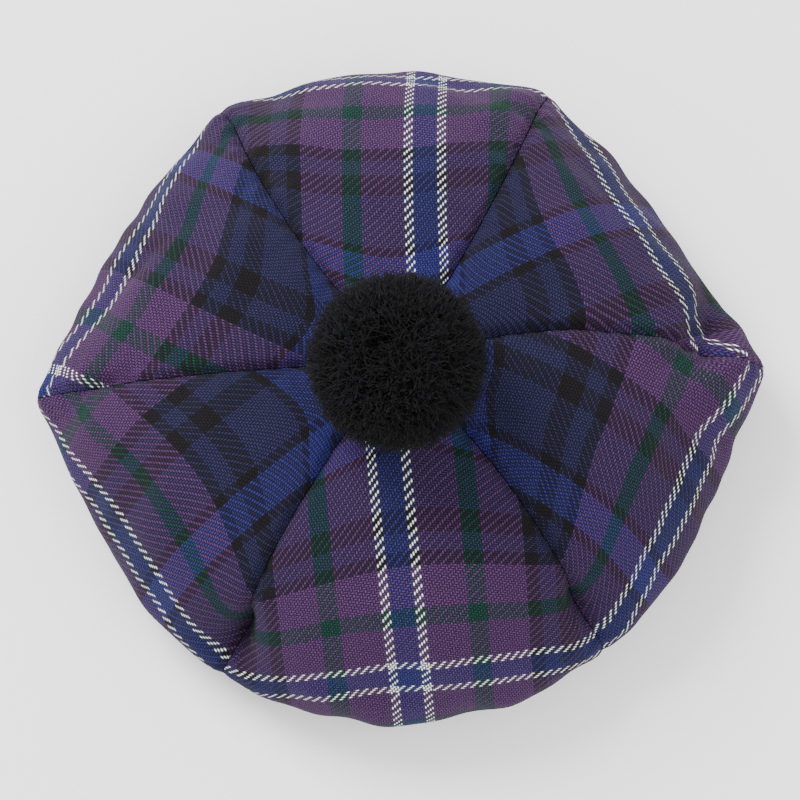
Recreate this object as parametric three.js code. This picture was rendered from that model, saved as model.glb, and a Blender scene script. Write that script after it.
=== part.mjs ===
// A tam o' shanter: a soft, wide six-panel cloth crown with a woollen pompom on top and a folded
// cloth headband underneath. Millimetres, +Z up. The hat stands on its headband's lower edge, with
// the middle of its outline over the origin. +X is the wearer's-right side, -Y is the front.
//
// The crown is worked out from one meridian, the line that the cloth follows from the crown's
// centre, out over the brow, round the rim and back under to the headband. Each panel sweeps this
// meridian between its two seams, which lie in soft valleys, and a short table of folds dents it.

import * as THREE from "three";

const DEG = Math.PI / 180;

// ---- driving dimensions, millimetres ----
const CLOTH = 2.0; // wall thickness of the crown's cloth, with its seam turnings
const GAP = 0.3; // air between neighbouring pieces
const BAND_OUTER_RADIUS = 92.0; // the headband fits a head of about 560 mm round
const BAND_WALL = 3.0; // two layers of cloth over a tape
const BAND_HEIGHT = 30.0;
const CROWN_END_HEIGHT = 28.5; // where the crown's lower edge ends, against the headband
const TIP_RADIUS = 3.0; // the six panel tips meet within this distance of the centre
const POMPOM_WIDTH = 63.0;
const POMPOM_HEIGHT = 55.0; // of the whole ball, before its seat is flattened
const POMPOM_SEAT = 3.0; // how much of the ball is pressed flat on the crown
const POMPOM_LEAN = { x: -1.0, y: -8.0 }; // the ball flops a little to the front
const CROWN_CENTRE = { x: -0.7, y: -3.2 }; // crown's centre, measured from the outline's middle

// ---- the meridian: cloth distance from the crown's centre, and how far it falls below level ----
const MERIDIAN = [
  { section: "centre", along: 0, fall: 0 },
  { section: "crown flat", along: 60, fall: 10 },
  { section: "brow", along: 100, fall: 30 },
  { section: "upper rim", along: 125, fall: 50 },
  { section: "rim", along: 145, fall: 65 },
  { section: "turn", along: 157, fall: 105 },
  { section: "lower rim", along: 170, fall: 160 },
  { section: "underside", along: 182, fall: 195 },
  { section: "rise", along: 195, fall: 230 },
  { section: "band seam", along: 209, fall: 270 },
];
const CLOTH_LENGTH = MERIDIAN[MERIDIAN.length - 1].along;
const MERIDIAN_STEP = 0.5; // the step at which the meridian is added up

// ---- the six panels, anticlockwise side first ----
// nearBall, rim: bearing of the seam on the panel's anticlockwise side, by the ball and at the rim
// valley: how deep that seam lies; corner: share of the rim radius that it reaches; middle: the
// share that the panel's own middle reaches
const PANELS = [
  { panel: 1, nearBall: 130, rim: 122, valley: 5, corner: 1.05, middle: 1.03 },
  { panel: 2, nearBall: 60, rim: 64, valley: 5, corner: 1.06, middle: 0.97 },
  { panel: 3, nearBall: 15, rim: 4, valley: 5, corner: 1.11, middle: 0.98 },
  { panel: 4, nearBall: -48, rim: -52, valley: 5, corner: 0.98, middle: 0.98 },
  { panel: 5, nearBall: -126, rim: -122, valley: 5, corner: 1.0, middle: 0.98 },
  { panel: 6, nearBall: -177, rim: -179, valley: 5, corner: 1.1, middle: 0.99 },
];
const SEAM_STATIONS = { nearBall: 40, rim: 130 }; // cloth distances of the bearings
const REACH_GROWS = { from: 50, to: 130 }; // where the outline's reach comes in
const REACH_FADES = { from: 165, to: 200 }; // and where it is gone again, for a round opening
const VALLEY_SHAPE = 2.5; // a higher power keeps the valley nearer its seam
const VALLEY_ALONG = [
  { along: 0, share: 0 },
  { along: 30, share: 0.6 },
  { along: 90, share: 1 },
  { along: 120, share: 0.8 },
  { along: 145, share: 0.2 },
  { along: 170, share: 0 },
];

// ---- main dents and folds: where each lies, how its length is turned from the meridian, how long
// and wide it is, and how far the cloth rises (a dent falls) ----
const FOLDS = [
  { fold: "right corner tuck", bearing: 11, along: 124, turn: 35, length: 26, width: 7, rise: -7 },
  { fold: "right corner lap", bearing: 0, along: 132, turn: 60, length: 20, width: 9, rise: 2.5 },
  { fold: "right side ruck", bearing: -10, along: 128, turn: 10, length: 24, width: 7, rise: -3 },
  { fold: "left corner pinch", bearing: -176, along: 128, turn: 15, length: 22, width: 7, rise: -4 },
  { fold: "front left dimple", bearing: -122, along: 133, turn: 0, length: 18, width: 10, rise: -9 },
  { fold: "front right dimple", bearing: -52, along: 126, turn: 0, length: 18, width: 9, rise: -4 },
  { fold: "back left knuckle", bearing: 122, along: 140, turn: 90, length: 12, width: 11, rise: 3 },
  { fold: "back right lap", bearing: 68, along: 126, turn: -20, length: 22, width: 8, rise: 2.5 },
  { fold: "back hollow", bearing: 78, along: 130, turn: 70, length: 20, width: 10, rise: -2.5 },
  { fold: "left hollow", bearing: 163, along: 126, turn: 80, length: 26, width: 13, rise: -3 },
];

// ---- how finely each piece is divided ----
const ACROSS_PANEL = 10;
const ALONG_PANEL = 24;
const ROUND_BAND = 60;
const ROUND_POMPOM = 28;
const UP_POMPOM = 14;

const COLOURS = { tartan: 0x3a2f5c, band: 0x35305a, wool: 0x0c0c10 };

// ---- small helpers ----

/** Smooth step from 0 to 1 between two distances. */
function ease(x, { from, to }) {
  const t = Math.min(Math.max((x - from) / (to - from), 0), 1);
  return t * t * (3 - 2 * t);
}

/** Straight-line reading of a table's column at x. */
function lookUp(rows, key, column, x) {
  const last = rows.length - 1;
  if (x <= rows[0][key]) return rows[0][column];
  if (x >= rows[last][key]) return rows[last][column];
  const i = rows.findIndex((row) => row[key] > x);
  const [a, b] = [rows[i - 1], rows[i]];
  return a[column] + ((b[column] - a[column]) * (x - a[key])) / (b[key] - a[key]);
}

/** The meridian added up in short steps: radius, drop below the centre and fall at each step. */
function sumMeridian() {
  const points = [{ radius: 0, drop: 0, fall: MERIDIAN[0].fall * DEG }];
  const count = Math.round(CLOTH_LENGTH / MERIDIAN_STEP);
  for (let i = 1; i <= count; i += 1) {
    const before = points[i - 1];
    const fall = lookUp(MERIDIAN, "along", "fall", i * MERIDIAN_STEP) * DEG;
    const mean = 0.5 * (fall + before.fall);
    points.push({
      radius: before.radius + MERIDIAN_STEP * Math.cos(mean),
      drop: before.drop + MERIDIAN_STEP * Math.sin(mean),
      fall,
    });
  }
  return points;
}

const MERIDIAN_POINTS = sumMeridian();
const LAST_POINT = MERIDIAN_POINTS[MERIDIAN_POINTS.length - 1];
const CENTRE_HEIGHT = CROWN_END_HEIGHT + LAST_POINT.drop;
const WIDEN = BAND_OUTER_RADIUS + GAP - LAST_POINT.radius; // brings the end onto the headband

function meridianAt(along) {
  const place = Math.min(along / MERIDIAN_STEP, MERIDIAN_POINTS.length - 1.001);
  const i = Math.floor(place);
  const share = place - i;
  const [a, b] = [MERIDIAN_POINTS[i], MERIDIAN_POINTS[i + 1]];
  const mix = (key) => a[key] + (b[key] - a[key]) * share;
  return { radius: mix("radius"), drop: mix("drop"), fall: mix("fall") };
}

/** Bearing of the seam on a panel's anticlockwise side, in degrees. */
function seamBearing(row, along) {
  const stations = Object.entries(SEAM_STATIONS).map(([key, at]) => ({ at, bearing: row[key] }));
  return lookUp(stations, "at", "bearing", along);
}

/** How far the folds lift the cloth at one place. */
function foldRise(bearing, along, radius) {
  let rise = 0;
  for (const row of FOLDS) {
    const turned = ((bearing - row.bearing + 540) % 360) - 180;
    const sideways = turned * DEG * radius;
    const onward = along - row.along;
    const [c, s] = [Math.cos(row.turn * DEG), Math.sin(row.turn * DEG)];
    const lengthwise = (onward * c + sideways * s) / row.length;
    const widthwise = (sideways * c - onward * s) / row.width;
    rise += row.rise * Math.exp(-lengthwise * lengthwise - widthwise * widthwise);
  }
  return rise;
}

/**
 * A point of the crown's outer face. across runs from 1 at the panel's anticlockwise seam to -1 at
 * its clockwise one; depth is how far inside the outer face the point lies.
 */
function crownPoint(index, across, along, depth) {
  const [here, next] = [PANELS[index], PANELS[(index + 1) % PANELS.length]];
  const start = seamBearing(here, along);
  let end = seamBearing(next, along);
  if (end > start) end -= 360;
  const { radius, drop, fall } = meridianAt(along);

  // keep half a gap clear of each seam, whatever the panel's width there
  const halfWidth = 0.5 * (start - end) * DEG * Math.max(radius, TIP_RADIUS);
  const side = across * (1 - (0.5 * GAP) / halfWidth);
  const bearing = 0.5 * (start + end) + side * 0.5 * (start - end);

  const corner = side > 0 ? here.corner : next.corner;
  const reach = here.middle + (corner - here.middle) * side * side;
  const shareOfReach = ease(along, REACH_GROWS) * (1 - ease(along, REACH_FADES));
  const valley = side > 0 ? here.valley : next.valley;
  const sink = valley * lookUp(VALLEY_ALONG, "along", "share", along);
  const nearEnd = 1 - ease(along, REACH_FADES);
  const lift = foldRise(bearing, along, radius) * nearEnd - sink * Math.abs(side) ** VALLEY_SHAPE;

  const out = lift - depth;
  const widened = radius + WIDEN * ease(along, { from: 0, to: CLOTH_LENGTH });
  const r = widened * (1 + (reach - 1) * shareOfReach) + out * Math.sin(fall);
  const z = CENTRE_HEIGHT - drop + out * Math.cos(fall);
  return [
    CROWN_CENTRE.x + r * Math.cos(bearing * DEG),
    CROWN_CENTRE.y + r * Math.sin(bearing * DEG),
    z,
  ];
}

/** A closed wall from two grids of points, the outer face and the inner one, of the same size. */
function wallBetween(outer, inner) {
  const rows = outer.length;
  const columns = outer[0].length;
  const positions = [...outer, ...inner].flat(2);
  const at = (layer, i, j) => (layer * rows + i) * columns + j;
  const index = [];
  const quad = (a, b, c, d) => index.push(a, c, b, a, d, c);
  for (let i = 0; i + 1 < rows; i += 1) {
    for (let j = 0; j + 1 < columns; j += 1) {
      quad(at(0, i, j), at(0, i + 1, j), at(0, i + 1, j + 1), at(0, i, j + 1));
      quad(at(1, i, j), at(1, i, j + 1), at(1, i + 1, j + 1), at(1, i + 1, j));
    }
    quad(at(0, i, 0), at(1, i, 0), at(1, i + 1, 0), at(0, i + 1, 0));
    const last = columns - 1;
    quad(at(0, i, last), at(0, i + 1, last), at(1, i + 1, last), at(1, i, last));
  }
  for (let j = 0; j + 1 < columns; j += 1) {
    quad(at(0, 0, j), at(0, 0, j + 1), at(1, 0, j + 1), at(1, 0, j));
    const last = rows - 1;
    quad(at(0, last, j), at(1, last, j), at(1, last, j + 1), at(0, last, j + 1));
  }
  const geometry = new THREE.BufferGeometry();
  geometry.setAttribute("position", new THREE.Float32BufferAttribute(positions, 3));
  geometry.setIndex(index);
  geometry.computeVertexNormals();
  return geometry;
}

/** One panel: a closed shell of cloth, from the crown's centre round the rim to the headband. */
function crownPanel(index) {
  const face = (depth) => {
    const grid = [];
    for (let i = 0; i <= ALONG_PANEL; i += 1) {
      const share = i / ALONG_PANEL;
      const along = TIP_RADIUS + (CLOTH_LENGTH - TIP_RADIUS) * share;
      const row = [];
      for (let j = 0; j <= ACROSS_PANEL; j += 1) {
        const across = 1 - (2 * j) / ACROSS_PANEL;
        row.push(crownPoint(index, across, along, depth));
      }
      grid.push(row);
    }
    return grid;
  };
  return wallBetween(face(0), face(CLOTH));
}

/** The headband: an upright cloth ring, with its corners eased. */
function headband() {
  const inner = BAND_OUTER_RADIUS - BAND_WALL;
  const profile = [
    [inner, 0],
    [BAND_OUTER_RADIUS, 0],
    [BAND_OUTER_RADIUS, BAND_HEIGHT],
    [inner, BAND_HEIGHT],
    [inner, 0],
  ].map(([radius, height]) => new THREE.Vector2(radius, height));
  const geometry = new THREE.LatheGeometry(profile, ROUND_BAND);
  geometry.rotateX(90 * DEG);
  geometry.translate(CROWN_CENTRE.x, CROWN_CENTRE.y, 0);
  return geometry;
}

/** The pompom's outer form: a ball of yarn, pressed flat where it sits on the crown. */
function pompom() {
  const half = { width: 0.5 * POMPOM_WIDTH, height: 0.5 * POMPOM_HEIGHT };
  const seatAngle = Math.asin((POMPOM_SEAT - half.height) / half.height);
  const profile = [new THREE.Vector2(0, POMPOM_SEAT - half.height)];
  for (let i = 0; i <= UP_POMPOM; i += 1) {
    const angle = seatAngle + ((90 * DEG - seatAngle) * i) / UP_POMPOM;
    const radius = i === UP_POMPOM ? 0 : half.width * Math.cos(angle);
    profile.push(new THREE.Vector2(radius, half.height * Math.sin(angle)));
  }
  const geometry = new THREE.LatheGeometry(profile, ROUND_POMPOM);
  geometry.rotateX(90 * DEG);
  return geometry;
}

function cloth(color, roughness) {
  return new THREE.MeshStandardMaterial({ color, roughness, metalness: 0 });
}

// ---- the hat ----
const hat = new THREE.Group();

PANELS.forEach((row, index) => {
  const mesh = new THREE.Mesh(crownPanel(index), cloth(COLOURS.tartan, 0.9));
  mesh.name = `crown_panel_${row.panel}`;
  hat.add(mesh);
});

const band = new THREE.Mesh(headband(), cloth(COLOURS.band, 0.9));
band.name = "headband";
hat.add(band);

const ball = new THREE.Mesh(pompom(), cloth(COLOURS.wool, 1));
ball.name = "pompom";
ball.position.set(
  CROWN_CENTRE.x + POMPOM_LEAN.x,
  CROWN_CENTRE.y + POMPOM_LEAN.y,
  CENTRE_HEIGHT + GAP + 0.5 * POMPOM_HEIGHT - POMPOM_SEAT,
);
hat.add(ball);

export default hat;
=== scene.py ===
# This lesson adds the looks: finer cloth on the same surface, a tartan woven thread by thread in a
# shader, a headband of folded cloth and a pompom of cut yarn. Lengths below are in millimetres
# until a mesh is made.

import bpy
import numpy as np
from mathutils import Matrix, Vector


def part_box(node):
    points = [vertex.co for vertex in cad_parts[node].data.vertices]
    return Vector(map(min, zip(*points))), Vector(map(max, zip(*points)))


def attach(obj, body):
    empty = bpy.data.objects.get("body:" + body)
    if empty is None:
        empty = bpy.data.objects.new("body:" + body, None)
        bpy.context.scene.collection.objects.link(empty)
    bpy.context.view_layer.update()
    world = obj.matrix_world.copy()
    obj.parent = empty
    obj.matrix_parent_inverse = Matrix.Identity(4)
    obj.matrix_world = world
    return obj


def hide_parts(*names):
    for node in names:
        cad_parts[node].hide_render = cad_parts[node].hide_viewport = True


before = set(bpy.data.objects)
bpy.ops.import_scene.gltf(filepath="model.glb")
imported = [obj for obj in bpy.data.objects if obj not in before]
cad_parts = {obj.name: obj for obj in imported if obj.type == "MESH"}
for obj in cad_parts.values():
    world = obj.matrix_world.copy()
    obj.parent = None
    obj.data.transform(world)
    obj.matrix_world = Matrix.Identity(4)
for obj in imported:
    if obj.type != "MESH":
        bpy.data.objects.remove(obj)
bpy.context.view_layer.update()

MM = 0.001
SEED = 7
random = np.random.default_rng(SEED)

# %% [markdown]
# ## The crown's shape
# The real crown is six wedge-shaped gores sewn edge to edge. Cloth can't be guessed freely here,
# because the solid pieces already say where it is, so the same meridian is added up again, finely.
# The meridian is the line that the cloth follows from the centre, round the rim, to the headband.

# %% Driving sizes
CLOTH = 1.8
BAND_RADIUS = 92.0
BAND_WALL = 3.0
BAND_HEIGHT = 30.0
CROWN_END_HEIGHT = 28.5
GAP = 0.3
TIP_RADIUS = 3.0
CROWN_CENTRE = np.array([-0.7, -3.2])

MERIDIAN = [  # cloth distance from the centre, degrees that the cloth falls there
    {"along": 0, "fall": 0},
    {"along": 60, "fall": 10},
    {"along": 100, "fall": 30},
    {"along": 125, "fall": 50},
    {"along": 145, "fall": 65},
    {"along": 157, "fall": 105},
    {"along": 170, "fall": 160},
    {"along": 182, "fall": 195},
    {"along": 195, "fall": 230},
    {"along": 209, "fall": 270},
]
STEP = 0.5


def column(rows, name):
    return np.array([row[name] for row in rows], dtype=float)


def ease(x, start, end):
    """Smooth step: 0 before start, 1 after end, 3t^2 - 2t^3 between them."""
    t = np.clip((x - start) / (end - start), 0, 1)
    return t * t * (3 - 2 * t)


steps = np.arange(0, MERIDIAN[-1]["along"] + STEP / 2, STEP)
falls = np.radians(np.interp(steps, column(MERIDIAN, "along"), column(MERIDIAN, "fall")))
mean_falls = 0.5 * (falls[1:] + falls[:-1])
radii = np.append(0, np.cumsum(STEP * np.cos(mean_falls)))
drops = np.append(0, np.cumsum(STEP * np.sin(mean_falls)))
CLOTH_LENGTH = steps[-1]
CENTRE_HEIGHT = CROWN_END_HEIGHT + drops[-1]
WIDEN = BAND_RADIUS + GAP - radii[-1]
print("crown centre height", round(CENTRE_HEIGHT, 1), "widest radius", round(radii.max(), 1))

# %% [markdown]
# ## Panels, dents and the lie of the cloth
# Each gore is cut from the same tartan but from another place in it, so every panel has its own
# row: where its seam runs, how far its corner reaches, and how the pattern lies. `spine` is the
# stripe that runs outward, `shift` moves it sideways, `lean` turns it, and `white` is how far from
# the centre the crossing pair of white lines lies. `bow` and `far_bow` bend the crossing lines at
# the panel's own seam and at the next one.

# %% Panel and fold tables
PANELS = [
    {"node": "crown_panel_1", "ball": 130, "rim": 122, "valley": 5, "corner": 1.05, "middle": 1.03,
     "spine": "white", "shift": -15, "lean": -2, "white": 131, "bow": 12, "far_bow": 9},
    {"node": "crown_panel_2", "ball": 60, "rim": 64, "valley": 5, "corner": 1.06, "middle": 0.97,
     "spine": "blue", "shift": 6, "lean": -5, "white": 121, "bow": 12, "far_bow": -8},
    {"node": "crown_panel_3", "ball": 15, "rim": 4, "valley": 5, "corner": 1.11, "middle": 0.98,
     "spine": "blue", "shift": -27.5, "lean": -4.5, "white": 126, "bow": -5, "far_bow": 12},
    {"node": "crown_panel_4", "ball": -48, "rim": -52, "valley": 5, "corner": 0.98, "middle": 0.98,
     "spine": "white", "shift": -4, "lean": 2.5, "white": 123, "bow": 8, "far_bow": 12},
    {"node": "crown_panel_5", "ball": -126, "rim": -122, "valley": 5, "corner": 1.0, "middle": 0.98,
     "spine": "blue", "shift": 21, "lean": 7, "white": 133, "bow": 14, "far_bow": 6},
    {"node": "crown_panel_6", "ball": -177, "rim": -179, "valley": 5, "corner": 1.1, "middle": 0.99,
     "spine": "blue", "shift": -39, "lean": 0, "white": 127, "bow": 7, "far_bow": 16},
]
FOLDS = [
    {"fold": "right corner tuck", "bearing": 11, "along": 124,
     "turn": 35, "length": 26, "width": 7, "rise": -7},
    {"fold": "right corner lap", "bearing": 0, "along": 132,
     "turn": 60, "length": 20, "width": 9, "rise": 2.5},
    {"fold": "right side ruck", "bearing": -10, "along": 128,
     "turn": 10, "length": 24, "width": 7, "rise": -3},
    {"fold": "left corner pinch", "bearing": -176, "along": 128,
     "turn": 15, "length": 22, "width": 7, "rise": -4},
    {"fold": "front left dimple", "bearing": -122, "along": 133,
     "turn": 0, "length": 18, "width": 10, "rise": -9},
    {"fold": "front right dimple", "bearing": -52, "along": 126,
     "turn": 0, "length": 18, "width": 9, "rise": -4},
    {"fold": "back left knuckle", "bearing": 122, "along": 140,
     "turn": 90, "length": 12, "width": 11, "rise": 3},
    {"fold": "back right lap", "bearing": 68, "along": 126,
     "turn": -20, "length": 22, "width": 8, "rise": 2.5},
    {"fold": "back hollow", "bearing": 78, "along": 130,
     "turn": 70, "length": 20, "width": 10, "rise": -2.5},
    {"fold": "left hollow", "bearing": 163, "along": 126,
     "turn": 80, "length": 26, "width": 13, "rise": -3},
]
CREASES = [  # sharp little creases, too fine for the solid panels
    {"fold": "front left crease", "bearing": -122, "along": 127,
     "turn": 0, "length": 15, "width": 4, "rise": -6},
    {"fold": "right corner crease", "bearing": 8, "along": 126,
     "turn": 42, "length": 20, "width": 3, "rise": -5},
    {"fold": "right corner pleat", "bearing": 5, "along": 131,
     "turn": 42, "length": 18, "width": 4, "rise": 3},
    {"fold": "left corner crease", "bearing": -179, "along": 118,
     "turn": 8, "length": 18, "width": 3, "rise": -3},
    {"fold": "front right crease", "bearing": -52, "along": 124,
     "turn": 0, "length": 12, "width": 4, "rise": -4},
    {"fold": "back left ruck", "bearing": 158, "along": 118,
     "turn": 60, "length": 22, "width": 5, "rise": -1.5},
    {"fold": "back right ruck", "bearing": 40, "along": 112,
     "turn": 75, "length": 24, "width": 5, "rise": -1.2},
    {"fold": "front ruck", "bearing": -95, "along": 132,
     "turn": 85, "length": 26, "width": 5, "rise": -1.5},
]
VALLEY_SHAPE = 2.5  # a higher power keeps the valley nearer its seam
VALLEY_ALONG = [
    {"along": 0, "share": 0},
    {"along": 30, "share": 0.6},
    {"along": 90, "share": 1},
    {"along": 120, "share": 0.8},
    {"along": 145, "share": 0.2},
    {"along": 170, "share": 0},
]
BALL_STATION = 40
RIM_STATION = 130
REACH_GROWS = (50, 130)  # cloth distances where the outline's reach comes in
REACH_FADES = (165, 200)  # and where it is gone again, for a round opening
print("panels:", len(PANELS), "folds:", len(FOLDS), "creases:", len(CREASES))

# %% [markdown]
# ## Small unevenness
# Woollen cloth is never quite smooth. Broad, shallow waves come from a sum of sines with random
# directions, and the stitching draws each seam into little puckers that die out within a few
# millimetres. The edges roll down into the seam, which makes the thin dark line between two gores.

# %% Waves, puckers and the rolled edge
WAVES = 14
WAVE_HEIGHT = 0.18
WAVE_LENGTHS = (18, 60)
WAVES_GROW = (20, 60)  # cloth distances where the waves come in, clear of the pompom
PUCKER_HEIGHT = 0.4
PUCKER_LENGTH = 8.0
PUCKER_REACH = 7.0
EDGE_ROLL = 2.2
EDGE_REACH = 1.9
ROLL_LOSS = 0.6  # how much of the roll is gone at the rim, where the cloth is pulled tight
ROLL_FADES = (128, 148)
wave_turns = random.uniform(0, np.pi, WAVES)
wave_lengths = random.uniform(*WAVE_LENGTHS, WAVES)
wave_phases = random.uniform(0, 2 * np.pi, WAVES)


def broad_waves(x, y):
    """WAVE_HEIGHT times the sum of sin(2 pi (x cos a + y sin a) / length + phase) over the waves."""
    total = np.zeros_like(x)
    for turn, length, phase in zip(wave_turns, wave_lengths, wave_phases):
        total += np.sin(2 * np.pi * (x * np.cos(turn) + y * np.sin(turn)) / length + phase)
    return WAVE_HEIGHT * total


print("waves:", WAVES, "from", round(wave_lengths.min(), 1), "to", round(wave_lengths.max(), 1), "mm long")

# %% [markdown]
# ## The crown's surface as a function
# On the real hat the cloth hangs from its seams. Here each point is found from two parameters:
# `across` runs from one seam to the next, and `along` is the cloth distance from the centre. One
# function for the outer and the inner face keeps the wall even.


# %% Folds and creases
def fold_rise(bearing, along, radius):
    """Sum of rise * exp(-(lengthwise/length)^2 - (widthwise/width)^2) over folds and creases."""
    rise = np.zeros_like(bearing)
    for row in FOLDS + CREASES:
        sideways = np.radians((bearing - row["bearing"] + 540) % 360 - 180) * radius
        onward = along - row["along"]
        c, s = np.cos(np.radians(row["turn"])), np.sin(np.radians(row["turn"]))
        lengthwise = (onward * c + sideways * s) / row["length"]
        widthwise = (sideways * c - onward * s) / row["width"]
        rise += row["rise"] * np.exp(-lengthwise**2 - widthwise**2)
    return rise


deepest = min(FOLDS + CREASES, key=lambda row: row["rise"])
print("deepest fold:", deepest["fold"], deepest["rise"], "mm")


# %% Seams and a point's place between them
def seam_bearing(row, along):
    """Bearing of a panel's own seam, straight between its two stations."""
    return np.interp(along, [BALL_STATION, RIM_STATION], [row["ball"], row["rim"]])


def panel_place(index, across, along):
    """Bearing, half angle and meridian values at across (1 to -1) and along (cloth distance)."""
    start = seam_bearing(PANELS[index], along)
    end = seam_bearing(PANELS[(index + 1) % len(PANELS)], along)
    end = np.where(end > start, end - 360, end)
    radius = np.interp(along, steps, radii)
    half_angle = 0.5 * (start - end)
    half_width = np.radians(half_angle) * np.maximum(radius, TIP_RADIUS)
    side = across * (1 - 0.5 * GAP / half_width)
    bearing = 0.5 * (start + end) + side * half_angle
    return bearing, side, half_angle, half_width, radius


print("seam bearings at the rim:", [float(seam_bearing(row, RIM_STATION)) for row in PANELS])


# %% A point on the crown
def crown_point(index, across, along, depth):
    """The meridian's point turned to the bearing, its radius scaled by the panel's reach, moved
    along the surface normal by folds, waves, puckers and the seam's valley, less the depth."""
    here, following = PANELS[index], PANELS[(index + 1) % len(PANELS)]
    bearing, side, _, half_width, radius = panel_place(index, across, along)
    drop = np.interp(along, steps, drops)
    fall = np.interp(along, steps, falls)

    corner = np.where(side > 0, here["corner"], following["corner"])
    reach = here["middle"] + (corner - here["middle"]) * side**2
    near_end = 1 - ease(along, *REACH_FADES)
    share = ease(along, *REACH_GROWS) * near_end
    valley = np.where(side > 0, here["valley"], following["valley"])
    sink = valley * np.interp(along, column(VALLEY_ALONG, "along"), column(VALLEY_ALONG, "share"))

    to_seam = half_width * (1 - np.abs(across))
    pucker = PUCKER_HEIGHT * np.sin(2 * np.pi * along / PUCKER_LENGTH) * np.exp(-to_seam / PUCKER_REACH)
    rolled = near_end * (1 - ROLL_LOSS * ease(along, *ROLL_FADES))
    roll = EDGE_ROLL * np.exp(-((to_seam / EDGE_REACH) ** 2)) * rolled
    flat_x, flat_y = along * np.cos(np.radians(bearing)), along * np.sin(np.radians(bearing))
    lift = fold_rise(bearing, along, radius) * near_end - sink * np.abs(side) ** VALLEY_SHAPE
    lift += broad_waves(flat_x, flat_y) * ease(along, *WAVES_GROW) * near_end
    lift += pucker * near_end - roll

    out = lift - depth
    widened = radius + WIDEN * ease(along, 0, CLOTH_LENGTH)
    r = widened * (1 + (reach - 1) * share) + out * np.sin(fall)
    x = CROWN_CENTRE[0] + r * np.cos(np.radians(bearing))
    y = CROWN_CENTRE[1] + r * np.sin(np.radians(bearing))
    return np.stack([x, y, CENTRE_HEIGHT - drop + out * np.cos(fall)], axis=-1)


corner_point = crown_point(0, np.array(1.0), np.array(float(RIM_STATION)), 0)
print("panel 1's corner in mm:", corner_point.round(1))

# %% [markdown]
# ## Where each point lies on the flat cloth
# A gore is flat before it is sewn, and its threads are straight. Laying the panel flat, a point at
# cloth distance s from the tip and a small angle off the middle line has s*sin and s*cos of that
# angle as its place. Counted in threads, that is the pattern's UV map.

# %% Flat cloth coordinates, in threads
THREAD = 0.88
HALF_SETT = 112
MIDDLE_OF_PANEL = 85


def cloth_threads(index, across, along):
    """Threads from the outward spine and from the crossing white pair, on the flat gore."""
    row = PANELS[index]
    _, side, half_angle, _, radius = panel_place(index, across, along)
    angle = np.radians(side * half_angle) * radius / np.maximum(along, 1)
    u = along * np.sin(angle)
    v = along * np.cos(angle) - MIDDLE_OF_PANEL
    lean = np.radians(row["lean"])
    sideways = u * np.cos(lean) - v * np.sin(lean) - row["shift"]
    bow = np.where(side > 0, row["bow"], row["far_bow"])
    outward = u * np.sin(lean) + v * np.cos(lean) + MIDDLE_OF_PANEL - bow * side**2
    spine = HALF_SETT if row["spine"] == "blue" else 0
    return np.stack([sideways / THREAD + spine, (row["white"] - outward) / THREAD], axis=-1)


gore_threads = CLOTH_LENGTH / THREAD
print("threads along a gore:", round(gore_threads), "setts:", round(gore_threads / 2 / HALF_SETT, 2))

# %% [markdown]
# ## From arrays to a mesh
# Every piece below is an array of points and an array of quads, so one function turns both into a
# smooth-shaded mesh at once, without visiting the points one by one.


# %% A mesh from arrays
def mesh_object(name, points, faces, uvs=None):
    """Points in millimetres and quads as arrays; uvs holds one pair for each corner of each quad."""
    mesh = bpy.data.meshes.new(name)
    mesh.vertices.add(len(points))
    mesh.vertices.foreach_set("co", (np.asarray(points) * MM).ravel())
    mesh.loops.add(faces.size)
    mesh.loops.foreach_set("vertex_index", faces.ravel().astype(np.int32))
    mesh.polygons.add(len(faces))
    mesh.polygons.foreach_set("loop_start", np.arange(0, faces.size, faces.shape[1], dtype=np.int32))
    if uvs is not None:
        layer = mesh.uv_layers.new(name="threads")
        layer.data.foreach_set("uv", np.asarray(uvs, dtype=np.float32).ravel())
    mesh.update(calc_edges=True)
    mesh.validate()
    mesh.polygons.foreach_set("use_smooth", np.ones(len(mesh.polygons), dtype=bool))
    thing = bpy.data.objects.new(name, mesh)
    bpy.context.scene.collection.objects.link(thing)
    return thing


def quads(rows, columns, first=0):
    """Corner numbers of the cells in a grid of points numbered row by row."""
    start = first + np.arange(rows - 1)[:, None] * columns + np.arange(columns - 1)[None, :]
    return np.stack([start, start + 1, start + columns + 1, start + columns], axis=-1).reshape(-1, 4)


print("quads in a grid of 3 by 4 points:", len(quads(3, 4)))

# %% [markdown]
# ## Sewing up the panels
# Each panel is a closed wall: an outer grid, an inner grid one cloth thickness deeper, and a strip
# of quads that joins their edges. The columns crowd towards the seams, where the cloth bends most.

# %% Build six panels
ACROSS = 80
ALONG = 190
CROWDING = 1.25


def rim_of(rows, columns):
    """Point numbers round the grid's edge, in order."""
    top = np.arange(columns)
    right = columns - 1 + np.arange(1, rows) * columns
    bottom = rows * columns - 1 - np.arange(1, columns)
    left = np.arange(rows - 2, 0, -1) * columns
    return np.concatenate([top, right, bottom, left])


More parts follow.
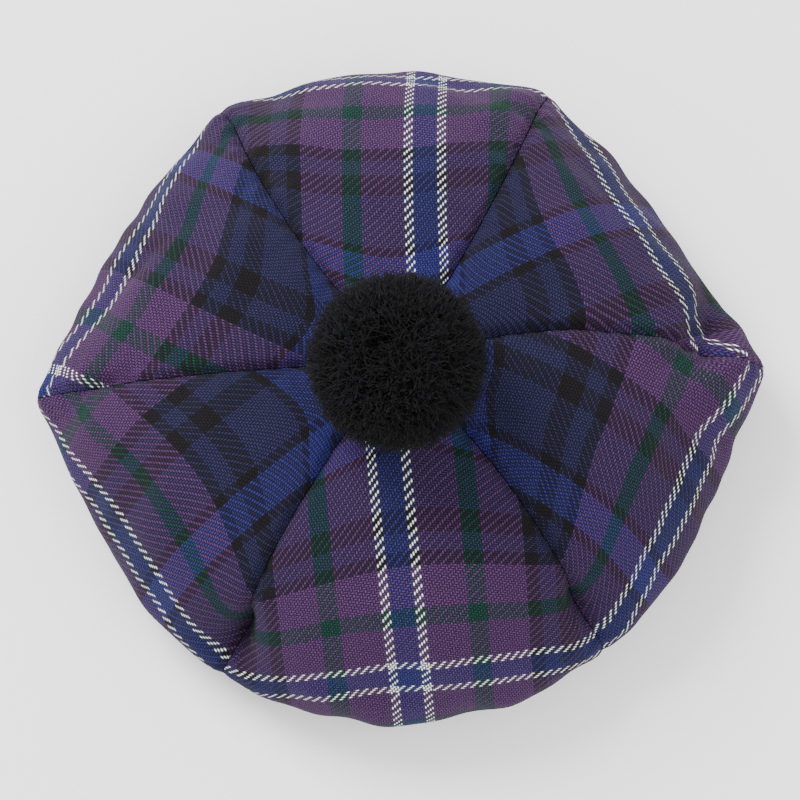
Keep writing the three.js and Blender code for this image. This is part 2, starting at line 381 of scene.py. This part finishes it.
def crown_panel(index):
    """Outer and inner grids of one gore, closed round their edges by a border of quads."""
    across = np.linspace(1, -1, ACROSS + 1)
    across = np.sign(across) * (1 - (1 - np.abs(across)) ** CROWDING)
    along = np.linspace(TIP_RADIUS, CLOTH_LENGTH, ALONG + 1)
    along, across = np.meshgrid(along, across, indexing="ij")
    outer = crown_point(index, across, along, 0).reshape(-1, 3)
    inner = crown_point(index, across, along, CLOTH).reshape(-1, 3)
    threads = cloth_threads(index, across, along).reshape(-1, 2)
    face_out = quads(ALONG + 1, ACROSS + 1)
    face_in = quads(ALONG + 1, ACROSS + 1, len(outer))[:, ::-1]
    edge = rim_of(ALONG + 1, ACROSS + 1)
    after = np.roll(edge, -1)
    border = np.stack([after, edge, edge + len(outer), after + len(outer)], axis=-1)
    faces = np.concatenate([face_out, face_in, border])
    uvs = np.concatenate([threads, threads])[faces.ravel()]
    return mesh_object(f"{PANELS[index]['node']}_cloth", np.concatenate([outer, inner]), faces, uvs)


panels = [crown_panel(index) for index in range(len(PANELS))]
print("triangles in a panel:", 2 * len(panels[0].data.polygons))

# %% [markdown]
# ## The headband
# A strip of the same tartan, folded over a tape and sewn into a ring. One closed profile with eased
# corners, carried round a circle that wanders slightly, gives it the softness of folded cloth.

# %% Build the headband
BAND_AROUND = 360
BAND_PROFILE = 48
CORNER_POWER = 0.25  # 2 / 8 makes the profile a superellipse of power 8
BAND_SETBACK = 0.2  # keeps the ripples off the crown's edge
BAND_RIPPLES = [
    {"waves": 9, "height": 0.2, "phase": 0},
    {"waves": 23, "height": 0.1, "phase": 1},
]


def headband():
    """A superellipse profile (power 8) carried round a circle, with a small ripple outward."""
    turn = np.linspace(0, 2 * np.pi, BAND_AROUND + 1)
    way = np.linspace(0, 2 * np.pi, BAND_PROFILE + 1)
    wide = 0.5 * BAND_WALL * np.sign(np.cos(way)) * np.abs(np.cos(way)) ** CORNER_POWER
    high = 0.5 * BAND_HEIGHT * np.sign(np.sin(way)) * np.abs(np.sin(way)) ** CORNER_POWER
    middle = BAND_RADIUS - 0.5 * BAND_WALL - BAND_SETBACK
    ripple = sum(row["height"] * np.sin(row["waves"] * turn + row["phase"]) for row in BAND_RIPPLES)
    radius = middle + wide[None, :] + ripple[:, None]
    x = CROWN_CENTRE[0] + radius * np.cos(turn)[:, None]
    y = CROWN_CENTRE[1] + radius * np.sin(turn)[:, None]
    z = np.broadcast_to(0.5 * BAND_HEIGHT + high[None, :], radius.shape)
    points = np.stack([x, y, z], axis=-1)[:-1, :-1].reshape(-1, 3)
    cells = quads(BAND_AROUND + 1, BAND_PROFILE + 1)
    i, j = cells // (BAND_PROFILE + 1), cells % (BAND_PROFILE + 1)
    faces = (i % BAND_AROUND) * BAND_PROFILE + j % BAND_PROFILE
    length = np.append(0, np.cumsum(np.hypot(np.diff(wide), np.diff(high))))
    around = turn * BAND_RADIUS / THREAD
    uvs = np.stack([around[i], length[j] / THREAD], axis=-1)
    return mesh_object("headband_cloth", points, faces[:, ::-1], uvs[:, ::-1])


band = headband()
print("triangles in the headband:", 2 * len(band.data.polygons))

# %% [markdown]
# ## Tartan as a shader group
# Tartan is the same list of stripes in warp and weft. A ping-pong of the thread number runs the half
# sett forwards and back, a ramp with constant steps gives the thread's colour, and the twill rule,
# two over and two under, shifted by one each row, says which of the two threads is on top. The
# cloth is fuzzy, so a little of the thread underneath shows too, except where that one is white.

# %% Thread colours and the half sett
THREAD_COLOURS = {
    "blue": (0.0105, 0.0115, 0.068),
    "white": (0.62, 0.63, 0.66),
    "purple": (0.036, 0.0135, 0.049),
    "green": (0.002, 0.020, 0.014),
    "black": (0.004, 0.003, 0.004),
    "navy": (0.0085, 0.0085, 0.028),
}
HALF_SETT_STRIPES = [
    {"colour": "blue", "threads": 5},
    {"colour": "white", "threads": 4},
    {"colour": "purple", "threads": 18},
    {"colour": "green", "threads": 8},
    {"colour": "purple", "threads": 18},
    {"colour": "black", "threads": 6},
    {"colour": "navy", "threads": 8},
    {"colour": "black", "threads": 10},
    {"colour": "navy", "threads": 24},
    {"colour": "black", "threads": 4},
    {"colour": "blue", "threads": 7},
]
print("threads in the half sett:", sum(row["threads"] for row in HALF_SETT_STRIPES), "of", HALF_SETT)


# %% A short way to write node formulas
class Nodes:
    """Adds nodes to a tree and joins them, so that a formula reads as one call a step."""

    def __init__(self, tree):
        self.tree = tree

    def add(self, kind, **settings):
        node = self.tree.nodes.new(kind)
        for name, value in settings.items():
            setattr(node, name, value)
        return node

    def put(self, socket, value):
        if isinstance(value, bpy.types.NodeSocket):
            self.tree.links.new(value, socket)
        else:
            socket.default_value = value

    def math(self, operation, *values):
        node = self.add("ShaderNodeMath", operation=operation)
        for socket, value in zip(node.inputs, values):
            self.put(socket, value)
        return node.outputs[0]

    def mix(self, share, first, second, blend="MIX"):
        node = self.add("ShaderNodeMix", data_type="RGBA", blend_type=blend)
        self.put(node.inputs["Factor"], share)
        self.put(node.inputs[6], first)
        self.put(node.inputs[7], second)
        return node.outputs[2]


print("node formulas:", [name for name in vars(Nodes) if not name.startswith("_")])

# %% One thread's colour and height
TWILL_REPEAT = 4
FLOAT_LENGTH = 2  # threads that each thread passes over
FLOAT_SWELL = 0.75  # share of a float's height that rises and falls along it
print("twill repeat:", TWILL_REPEAT, "threads, float over:", FLOAT_LENGTH)


def stripe_colour(n, thread_number):
    """Colour of one thread: its number, folded back and forth over the half sett, on a ramp."""
    folded = n.math("PINGPONG", n.math("ADD", thread_number, 0.5), HALF_SETT)
    ramp = n.add("ShaderNodeValToRGB")
    ramp.color_ramp.interpolation = "CONSTANT"
    place = 0
    for number, stripe in enumerate(HALF_SETT_STRIPES):
        elements = ramp.color_ramp.elements
        stop = elements[0] if number == 0 else elements.new(place / HALF_SETT)
        stop.position = place / HALF_SETT
        stop.color = (*THREAD_COLOURS[stripe["colour"]], 1)
        place += stripe["threads"]
    ramp.color_ramp.elements.remove(ramp.color_ramp.elements[-1])
    n.put(ramp.inputs[0], n.math("DIVIDE", folded, HALF_SETT))
    return ramp.outputs[0]


def float_profile(n, across, along):
    """Height of a thread that floats over two others: sin across the thread, times a share that
    rises and falls once along the float."""
    crown = n.math("SINE", n.math("MULTIPLY", n.math("FRACT", across), np.pi))
    part = n.math("MULTIPLY", n.math("FLOORED_MODULO", along, TWILL_REPEAT), 1 / FLOAT_LENGTH)
    swell = n.math("SINE", n.math("MULTIPLY", part, np.pi))
    return n.math("MULTIPLY", crown, n.math("ADD", n.math("MULTIPLY", swell, FLOAT_SWELL), 1 - FLOAT_SWELL))


# %% [markdown]
# ## Light between the threads
# Each woollen thread is round and hairy: its top catches the light and its sides sink into shade.
# A scan of real cloth could be laid on instead, but it would blur close by. Here that light and
# shade are painted into the colour from the thread's height: its top is painted lighter and its
# edges darker, and noise along the threads makes them uneven, as spun wool is.

# %% The tartan group
FUZZ_BLEND = 0.22  # how much of the thread underneath shows through the cloth's fuzz
WHITE_LIMIT = 0.09  # threads brighter than this count as white and stay crisp
SHARPNESS = 1.5  # power that narrows the lit top of a thread
WHITE_SHARPNESS = 1.5  # added to it for white, whose painted lit top is narrower, so its floats look thin
# painted light and shade: the top of each thread is painted lighter and its edges darker, more so at the
# edges of white threads
TOP_LIGHT = 2.0
EDGE_LIGHT = 0.2
WHITE_EDGE_SHADE = 0.12
GRAIN_SCALE = 0.9
GRAIN_DETAIL = 2
GRAIN_CONTRAST = 1.3
GRAIN_FLOOR = 0.35


def tartan_group():
    """Node group from a place counted in threads to the cloth's colour, with each thread's lit top and
    shaded edges painted in, and its threads' height.
    """
    tree = bpy.data.node_groups.new("woven_tartan", "ShaderNodeTree")
    tree.interface.new_socket("Threads", in_out="INPUT", socket_type="NodeSocketVector")
    tree.interface.new_socket("Colour", in_out="OUTPUT", socket_type="NodeSocketColor")
    tree.interface.new_socket("Height", in_out="OUTPUT", socket_type="NodeSocketFloat")
    n = Nodes(tree)
    given = n.add("NodeGroupInput")
    given_out = n.add("NodeGroupOutput")
    split = n.add("ShaderNodeSeparateXYZ")
    n.put(split.inputs[0], given.outputs["Threads"])
    warp = n.math("FLOOR", split.outputs[0])
    weft = n.math("FLOOR", split.outputs[1])
    twill = n.math("FLOORED_MODULO", n.math("SUBTRACT", warp, weft), TWILL_REPEAT)
    warp_on_top = n.math("LESS_THAN", twill, FLOAT_LENGTH - 0.5)
    weft_colour = stripe_colour(n, weft)
    warp_colour = stripe_colour(n, warp)
    top = n.mix(warp_on_top, weft_colour, warp_colour)
    under = n.mix(warp_on_top, warp_colour, weft_colour)
    under_is_dark = n.math("LESS_THAN", under, WHITE_LIMIT)
    colour = n.mix(n.math("MULTIPLY", under_is_dark, FUZZ_BLEND), top, under)
    warp_float = n.math("SUBTRACT", n.math("ADD", warp, 1), split.outputs[1])
    weft_float = n.math("SUBTRACT", n.math("SUBTRACT", split.outputs[0], weft), FLOAT_LENGTH)
    chosen = n.add("ShaderNodeMix", data_type="FLOAT")
    n.put(chosen.inputs[0], warp_on_top)
    n.put(chosen.inputs[2], float_profile(n, split.outputs[1], weft_float))
    n.put(chosen.inputs[3], float_profile(n, split.outputs[0], warp_float))
    height = chosen.outputs[0]

    grain = n.add("ShaderNodeTexNoise", noise_dimensions="2D")
    grain.inputs["Scale"].default_value = GRAIN_SCALE
    grain.inputs["Detail"].default_value = GRAIN_DETAIL
    n.put(grain.inputs["Vector"], given.outputs["Threads"])
    speckle = n.math("ADD", n.math("MULTIPLY", grain.outputs[0], GRAIN_CONTRAST), GRAIN_FLOOR)
    white_on_top = n.math("GREATER_THAN", top, WHITE_LIMIT)
    sharpness = n.math("ADD", n.math("MULTIPLY", white_on_top, WHITE_SHARPNESS), SHARPNESS)
    edge_light = n.math("SUBTRACT", EDGE_LIGHT, n.math("MULTIPLY", white_on_top, WHITE_EDGE_SHADE))
    # painted light and shade: the thread colour is multiplied by a lit top and shaded edges taken from the
    # thread's height
    top_light = n.math("MULTIPLY", n.math("POWER", height, sharpness), TOP_LIGHT)
    shade = n.math("MULTIPLY", n.math("ADD", top_light, edge_light), speckle)
    n.put(given_out.inputs["Colour"], n.mix(1.0, colour, shade, "MULTIPLY"))
    n.put(given_out.inputs["Height"], height)
    return tree


tartan = tartan_group()
print("nodes in the tartan group:", len(tartan.nodes))

# %% [markdown]
# ## The cloth's finish
# Brushed wool is matt, with hardly any sheen seen from above. The group gives the colour, with each
# thread's lit top and shaded edges painted in, and the threads' height; a bump turns that height
# into relief, so the mesh needn't hold the threads.

# %% Cloth material for panels and band
CLOTH_ROUGHNESS = 0.9
CLOTH_SPECULAR = 0.12
CLOTH_SHEEN = 0.02
CLOTH_SHEEN_ROUGHNESS = 0.5
THREAD_RELIEF = 0.25
CROWN_BUMP = 0.6
BAND_BUMP = 0.5


def cloth_material(name, bump):
    """Matt cloth that wears the tartan group, with the threads' height as a bump."""
    material = bpy.data.materials.new(name)
    material.use_nodes = True
    n = Nodes(material.node_tree)
    surface = material.node_tree.nodes["Principled BSDF"]
    surface.inputs["Roughness"].default_value = CLOTH_ROUGHNESS
    surface.inputs["Specular IOR Level"].default_value = CLOTH_SPECULAR
    surface.inputs["Sheen Weight"].default_value = CLOTH_SHEEN
    surface.inputs["Sheen Roughness"].default_value = CLOTH_SHEEN_ROUGHNESS
    where = n.add("ShaderNodeUVMap", uv_map="threads")
    woven = n.add("ShaderNodeGroup", node_tree=tartan)
    n.put(woven.inputs["Threads"], where.outputs[0])
    n.put(surface.inputs["Base Color"], woven.outputs["Colour"])
    relief = n.add("ShaderNodeBump")
    relief.inputs["Strength"].default_value = bump
    relief.inputs["Distance"].default_value = THREAD_RELIEF * MM
    n.put(relief.inputs["Height"], woven.outputs["Height"])
    n.put(surface.inputs["Normal"], relief.outputs[0])
    return material


crown_cloth = cloth_material("tartan cloth", CROWN_BUMP)
band_cloth = cloth_material("band cloth", BAND_BUMP)
for panel in panels:
    panel.data.materials.append(crown_cloth)
band.data.materials.append(band_cloth)
print("cloth on:", [panel.name for panel in panels], band.name)

# %% [markdown]
# ## The pompom
# A pompom is hundreds of yarn ends tied at the middle and clipped to a ball. Each strand here is a
# bent, four-sided tube, and all of a layer's strands are one array. Strands lean together in
# tufts, and partings push them aside, which shows the darkness between them. A second layer of
# finer, shorter hairs softens the outline, and a plain core inside stops the light.

# %% The ball and its partings
low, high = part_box("pompom")
ball_centre = (np.array(low) + np.array(high)) / 2 / MM
ball_half = (np.array(high) - np.array(low)) / 2 / MM
SEAT_HEIGHT = low[2] / MM
BALL_HALF_HEIGHT = 29.5  # taller than the solid's, so that its underside is pressed flat at the seat
ball_centre[2] = high[2] / MM - BALL_HALF_HEIGHT
ball_half[2] = BALL_HALF_HEIGHT
PARTINGS = [  # where the yarn parts, how wide, how far it leans away and how much shorter it is
    {"toward": (-0.24, 0.10, 1.0), "width": 0.20, "push": 0.60, "sunk": 0.32},
    {"toward": (0.03, -0.22, 1.0), "width": 0.16, "push": 0.40, "sunk": 0.22},
    {"toward": (-0.35, -0.12, 1.0), "width": 0.14, "push": 0.35, "sunk": 0.20},
]
print("ball half sizes in mm:", ball_half.round(1), "partings:", len(PARTINGS))

# %% Where the strands run
WANDER = 0.05  # how unevenly the strands are spread over the ball
TUFT_LEAN = 0.4


def unit(vectors):
    return vectors / np.linalg.norm(vectors, axis=-1, keepdims=True)


def sphere_directions(count):
    """A golden-angle spiral: equal steps of height, turned by 137.5 degrees each."""
    k = np.arange(count) + 0.5
    z = 1 - 2 * k / count
    turn = k * np.pi * (3 - np.sqrt(5))
    ring = np.sqrt(1 - z * z)
    return np.stack([ring * np.cos(turn), ring * np.sin(turn), z], axis=-1)


def strand_paths(count, radius, rings, root, reach, tufts, bend):
    """Centre lines from root to reach (shares of the ball): each runs outward, and leans by t^2 to
    its tuft's own direction, away from the partings and by a random curl."""
    way = unit(sphere_directions(count) + random.normal(0, WANDER, (count, 3)))
    tuft_ways = unit(random.normal(0, 1, (tufts, 3)))
    nearest = np.argmax(way @ tuft_ways.T, axis=1)
    lean = (tuft_ways[nearest] - way) * TUFT_LEAN
    sunk = np.zeros((count, 1))
    for row in PARTINGS:
        away = way - unit(np.array(row["toward"]))
        distance = np.linalg.norm(away, axis=1, keepdims=True)
        near = np.exp(-((distance / row["width"]) ** 2))
        lean = lean + away / distance * row["push"] * near
        sunk = sunk + row["sunk"] * near
    curl = random.normal(0, bend, (count, 3))
    length = random.uniform(*reach, count) - sunk[:, 0]
    t = np.linspace(0, 1, rings)[None, :, None]
    share = root + (length[:, None, None] - root) * t
    path = unit(way[:, None, :] + (lean + curl)[:, None, :] * t**2) * share
    path = ball_centre + path * ball_half
    path[:, :, 2] = np.maximum(path[:, :, 2], SEAT_HEIGHT + radius)
    return path


print("first strand points to", sphere_directions(3)[0].round(2))

# %% Strands as tubes in one array
STRAND_SIDES = 4
TIP_TAPER = 0.35
OFF_AXIS = np.array([0.31, 0.53, 0.79])  # a direction that no strand follows exactly
TINY = 1e-9


def tube_faces(rings):
    """Quads of one closed tube, with a cap at its tip and one at its root."""
    i, j = np.meshgrid(np.arange(rings - 1), np.arange(STRAND_SIDES), indexing="ij")
    here = i * STRAND_SIDES + j
    beside = i * STRAND_SIDES + (j + 1) % STRAND_SIDES
    walls = np.stack([here, beside, beside + STRAND_SIDES, here + STRAND_SIDES], -1)
    root_cap = np.arange(STRAND_SIDES)[::-1]
    tip_cap = (rings - 1) * STRAND_SIDES + np.arange(STRAND_SIDES)
    return np.concatenate([walls.reshape(-1, 4), [tip_cap], [root_cap]])


def strands(name, count, radius, rings, root, reach, tufts, bend):
    """Tubes round the strands' paths, thinner at the tip by TIP_TAPER * t^3, all in one mesh."""
    path = strand_paths(count, radius, rings, root, reach, tufts, bend)
    forward = unit(np.gradient(path, axis=1) + TINY)
    across = unit(np.cross(forward, OFF_AXIS))
    over = np.cross(forward, across)
    angle = (np.arange(STRAND_SIDES) * 2 * np.pi / STRAND_SIDES)[None, None, :, None]
    ring = np.cos(angle) * across[:, :, None, :] + np.sin(angle) * over[:, :, None, :]
    t = np.linspace(0, 1, rings)[None, :, None, None]
    points = path[:, :, None, :] + radius * (1 - TIP_TAPER * t**3) * ring
    first = (np.arange(count) * rings * STRAND_SIDES)[:, None, None]
    faces = (tube_faces(rings)[None] + first).reshape(-1, 4)
    return mesh_object(name, points.reshape(-1, 3), faces)


yarn = strands(
    "pompom_yarn", count=5200, radius=0.40, rings=5, root=0.40, reach=(0.86, 1.02), tufts=150, bend=0.08
)
fuzz = strands(
    "pompom_fuzz", count=6800, radius=0.13, rings=4, root=0.62, reach=(0.94, 1.06), tufts=400, bend=0.22
)
print("triangles in yarn and fuzz:", 2 * len(yarn.data.polygons), 2 * len(fuzz.data.polygons))

# %% The core
CORE_SHARE = 0.48
CORE_SEGMENTS = 48
CORE_RINGS = 24


def pompom_core():
    """A smooth ball inside the strands, CORE_SHARE of the pompom's size, closed at both poles."""
    bpy.ops.mesh.primitive_uv_sphere_add(segments=CORE_SEGMENTS, ring_count=CORE_RINGS, radius=1)
    core = bpy.context.object
    core.name = "pompom_core"
    points = np.empty(len(core.data.vertices) * 3)
    core.data.vertices.foreach_get("co", points)
    points = points.reshape(-1, 3) * ball_half * CORE_SHARE + ball_centre
    core.data.vertices.foreach_set("co", (points * MM).ravel())
    core.data.update()
    return core


core = pompom_core()
print("faces in the core:", len(core.data.polygons))

# %% [markdown]
# ## The yarn's finish
# Black wool still scatters a little light. Fine flecks between two near-blacks keep the strands
# from melting into one flat shape.

# %% Wool material
WOOL_ROUGHNESS = 0.85
WOOL_SPECULAR = 0.12
WOOL_SHEEN = 0.02
WOOL_DARK = (0.0015, 0.0015, 0.0018, 1)
WOOL_LIGHT = (0.008, 0.008, 0.0095, 1)
FLECK_SCALE = 900


def wool_material():
    """Near-black wool with fine flecks, placed by object coordinates."""
    material = bpy.data.materials.new("black wool")
    material.use_nodes = True
    n = Nodes(material.node_tree)
    surface = material.node_tree.nodes["Principled BSDF"]
    surface.inputs["Roughness"].default_value = WOOL_ROUGHNESS
    surface.inputs["Specular IOR Level"].default_value = WOOL_SPECULAR
    surface.inputs["Sheen Weight"].default_value = WOOL_SHEEN
    where = n.add("ShaderNodeTexCoord")
    flecks = n.add("ShaderNodeTexNoise")
    flecks.inputs["Scale"].default_value = FLECK_SCALE
    n.put(flecks.inputs["Vector"], where.outputs["Object"])
    n.put(surface.inputs["Base Color"], n.mix(flecks.outputs[0], WOOL_DARK, WOOL_LIGHT))
    return material


wool = wool_material()
for piece in (yarn, fuzz, core):
    piece.data.materials.append(wool)
print("wool on:", yarn.name, fuzz.name, core.name)

# %% [markdown]
# ## Fasten each piece to the body
# Every piece rides on the hat's one body and has its material slot, and the solid piece that it
# replaces is hidden. The gores and the band are sheets of cloth.

# %% Rides on the body, solid pieces hidden
for panel, row in zip(panels, PANELS):
    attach(panel, "root")
    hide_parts(row["node"])
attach(band, "root")
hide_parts("headband")
for piece in (core, yarn, fuzz):
    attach(piece, "root")
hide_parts("pompom")

# %% [markdown]
# ## Floor, light and camera
# A pale floor and three large soft lamps keep shadows faint. The camera looks steeply down from the
# front through a long lens, and points a little below the crown's centre.

# %% Floor
FLOOR_SIZE = 8
FLOOR_COLOUR = (0.9, 0.9, 0.9, 1)
FLOOR_ROUGHNESS = 0.9
bpy.ops.mesh.primitive_plane_add(size=FLOOR_SIZE)
floor = bpy.context.object
floor.name = "floor"
paint = bpy.data.materials.new("pale floor")
paint.use_nodes = True
floor_surface = paint.node_tree.nodes["Principled BSDF"]
floor_surface.inputs["Base Color"].default_value = FLOOR_COLOUR
floor_surface.inputs["Roughness"].default_value = FLOOR_ROUGHNESS
floor.data.materials.append(paint)
print("floor:", FLOOR_SIZE, "metres square")

# %% Lamps and world
LAMP_TARGET = (0, 0, 0.05)
WORLD_COLOUR = (1, 1, 1, 1)
WORLD_STRENGTH = 1.35
LAMPS = [
    {"name": "key", "place": (-0.9, 0.9, 1.3), "size": 0.9, "watts": 55},
    {"name": "fill", "place": (1.1, -0.5, 1.4), "size": 1.5, "watts": 20},
    {"name": "front", "place": (-0.3, -1.4, 1.0), "size": 1.2, "watts": 10},
]


def aim(thing, place, target):
    """Move a lamp to its place and turn it so that its -Z axis points at the target."""
    thing.location = place
    thing.rotation_euler = (Vector(target) - Vector(place)).to_track_quat("-Z", "Y").to_euler()


for row in LAMPS:
    lamp = bpy.data.lights.new(row["name"], "AREA")
    lamp.shape = "DISK"
    lamp.size = row["size"]
    lamp.energy = row["watts"]
    holder = bpy.data.objects.new(row["name"], lamp)
    bpy.context.scene.collection.objects.link(holder)
    aim(holder, row["place"], LAMP_TARGET)

world = bpy.data.worlds.new("soft room")
bpy.context.scene.world = world
world.use_nodes = True
backdrop = world.node_tree.nodes["Background"]
backdrop.inputs["Color"].default_value = WORLD_COLOUR
backdrop.inputs["Strength"].default_value = WORLD_STRENGTH
print("lamps:", len(LAMPS), "watts in all:", sum(row["watts"] for row in LAMPS))

# %% Camera
ELEVATION = 75
DISTANCE = 0.8
LENS = 99.5
AIM_BELOW = 1.13  # degrees below the crown's centre
crown_centre = np.array([*CROWN_CENTRE, CENTRE_HEIGHT]) * MM
slope = np.radians(ELEVATION)
camera = bpy.data.objects.new("camera", bpy.data.cameras.new("camera"))
camera.data.lens = LENS
camera.location = crown_centre + DISTANCE * np.array([0, -np.cos(slope), np.sin(slope)])
camera.rotation_euler = (np.radians(90 - ELEVATION - AIM_BELOW), 0, 0)
bpy.context.scene.collection.objects.link(camera)
bpy.context.scene.camera = camera
print("camera at", camera.location, "lens", LENS, "mm")

# %% [markdown]
# ## Finish
# The fine surface should stay within a few millimetres of the solids.
